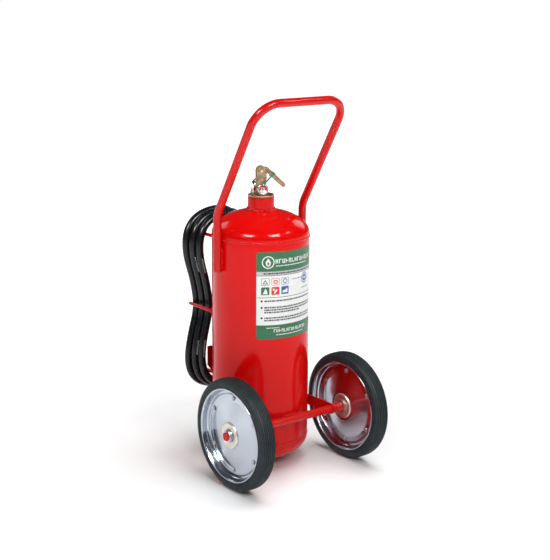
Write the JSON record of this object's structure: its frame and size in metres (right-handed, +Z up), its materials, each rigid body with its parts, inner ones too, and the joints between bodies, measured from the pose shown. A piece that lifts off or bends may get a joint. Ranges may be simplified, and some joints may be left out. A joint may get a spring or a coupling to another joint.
{
  "type": "wheeled fire extinguisher",
  "caption": "Tall red pressure vessel on two wheels with a bent push handle, lever valve with gauge, hose coiled on a rear rack and a trigger nozzle.",
  "frame": {"origin": "on the floor under the axis of the tank", "axes": "+Z up, +X along the axle to the right wheel, -Y towards the handle and the wheels, +Y towards the hose rack"},
  "size_m": [0.514, 0.5985, 1.146],
  "materials": {
    "tank_paint": "gloss",
    "frame_paint": "gloss",
    "cap_brass": "satin",
    "valve_bronze": "satin",
    "plated_steel": "gloss",
    "steel": "satin",
    "polished_alloy": "gloss",
    "hub_alloy": "satin",
    "tyre_rubber": "matt",
    "hose_rubber": "gloss",
    "seal_rubber": "matt",
    "strap_plastic": "gloss",
    "dip_plastic": "matt",
    "gauge_face": "satin",
    "gauge_glass": "gloss",
    "needle": "matt",
    "nozzle_plastic": "satin",
    "trigger_plastic": "gloss",
    "label_film": "gloss"
  },
  "bodies": {
    "tank": {"tank_barrel": "tank_paint", "tank_top_head": "tank_paint", "tank_bottom_head": "tank_paint", "weld_beads": "tank_paint", "neck_collar": "tank_paint", "cap_seal": "seal_rubber", "valve_cap": "cap_brass", "valve_body": "valve_bronze", "stem_gland": "cap_brass", "spring_retainer": "cap_brass", "stem_spring": "steel", "dip_tube": "dip_plastic", "lever_pin": "steel", "gauge_case": "plated_steel", "gauge_dial": "gauge_face", "gauge_lens": "gauge_glass", "outlet_elbow": "plated_steel", "coupling_nut": "plated_steel", "hose_ferrule": "plated_steel", "hose_lead": "hose_rubber", "hose_coil": "hose_rubber", "hose_tail": "hose_rubber", "nozzle_ferrule": "nozzle_plastic", "nozzle_body": "nozzle_plastic", "nozzle_tip": "nozzle_plastic", "trigger_pin": "steel", "nozzle_holder": "frame_paint", "rack_pegs": "frame_paint", "rack_retainers": "frame_paint", "rack_gussets": "frame_paint", "handle_tube": "frame_paint", "axle_bar": "frame_paint", "side_plates": "frame_paint", "axle_sleeves": "frame_paint", "axle_washers": "steel", "stop_rings": "plated_steel", "cotter_pins": "steel", "label_sheet": "label_film", "rear_foot": "frame_paint"},
    "left_wheel": {"left_tyre": "tyre_rubber", "left_rim_outer": "polished_alloy", "left_rim_inner": "polished_alloy", "left_hub": "hub_alloy", "left_bearings": "plated_steel", "left_rim_bolts": "steel"},
    "right_wheel": {"right_tyre": "tyre_rubber", "right_rim_outer": "polished_alloy", "right_rim_inner": "polished_alloy", "right_hub": "hub_alloy", "right_bearings": "plated_steel", "right_rim_bolts": "steel"},
    "lever": {"valve_lever": "valve_bronze", "tamper_seal": "strap_plastic"},
    "stem": {"valve_stem": "cap_brass", "poppet_washer": "seal_rubber"},
    "lock_pin": {"safety_pin": "plated_steel", "pin_ring": "plated_steel"},
    "needle": {"gauge_needle": "needle"},
    "trigger": {"nozzle_trigger": "trigger_plastic"}
  },
  "joints": [
    {"name": "left_wheel_spin", "type": "hinge", "parent": "tank", "child": "left_wheel", "pos_m": [-0.219, -0.166, 0.169], "axis": [1, 0, 0], "continuous": true},
    {"name": "right_wheel_spin", "type": "hinge", "parent": "tank", "child": "right_wheel", "pos_m": [0.219, -0.166, 0.169], "axis": [1, 0, 0], "continuous": true},
    {"name": "lever_lift", "type": "hinge", "parent": "tank", "child": "lever", "pos_m": [0, 0, 0.9115], "axis": [-0.4226, -0.9063, 0], "range_deg": [0, 75]},
    {"name": "stem_stroke", "type": "slide", "parent": "tank", "child": "stem", "axis": [0, 0, -1], "range_m": [0, 0.0046], "deforming": ["stem_spring"]},
    {"name": "safety_pin_pull", "type": "slide", "parent": "tank", "child": "lock_pin", "axis": [0.4226, 0.9063, 0], "range_m": [0, 0.045]},
    {"name": "gauge_needle_swing", "type": "hinge", "parent": "tank", "child": "needle", "pos_m": [0, 0, 0.8585], "axis": [0.4226, 0.9063, 0], "range_deg": [-100, 100]},
    {"name": "trigger_squeeze", "type": "hinge", "parent": "tank", "child": "trigger", "pos_m": [0.012, 0.24, 0.418], "axis": [0, -1, 0], "range_deg": [0, 11], "stiffness_Nm_per_rad": 0.6, "springref_deg": -5.73}
  ],
  "couplings": [
    {"joint": "stem_stroke", "follows": "lever_lift", "m_per_rad": 0.0035141}
  ]
}
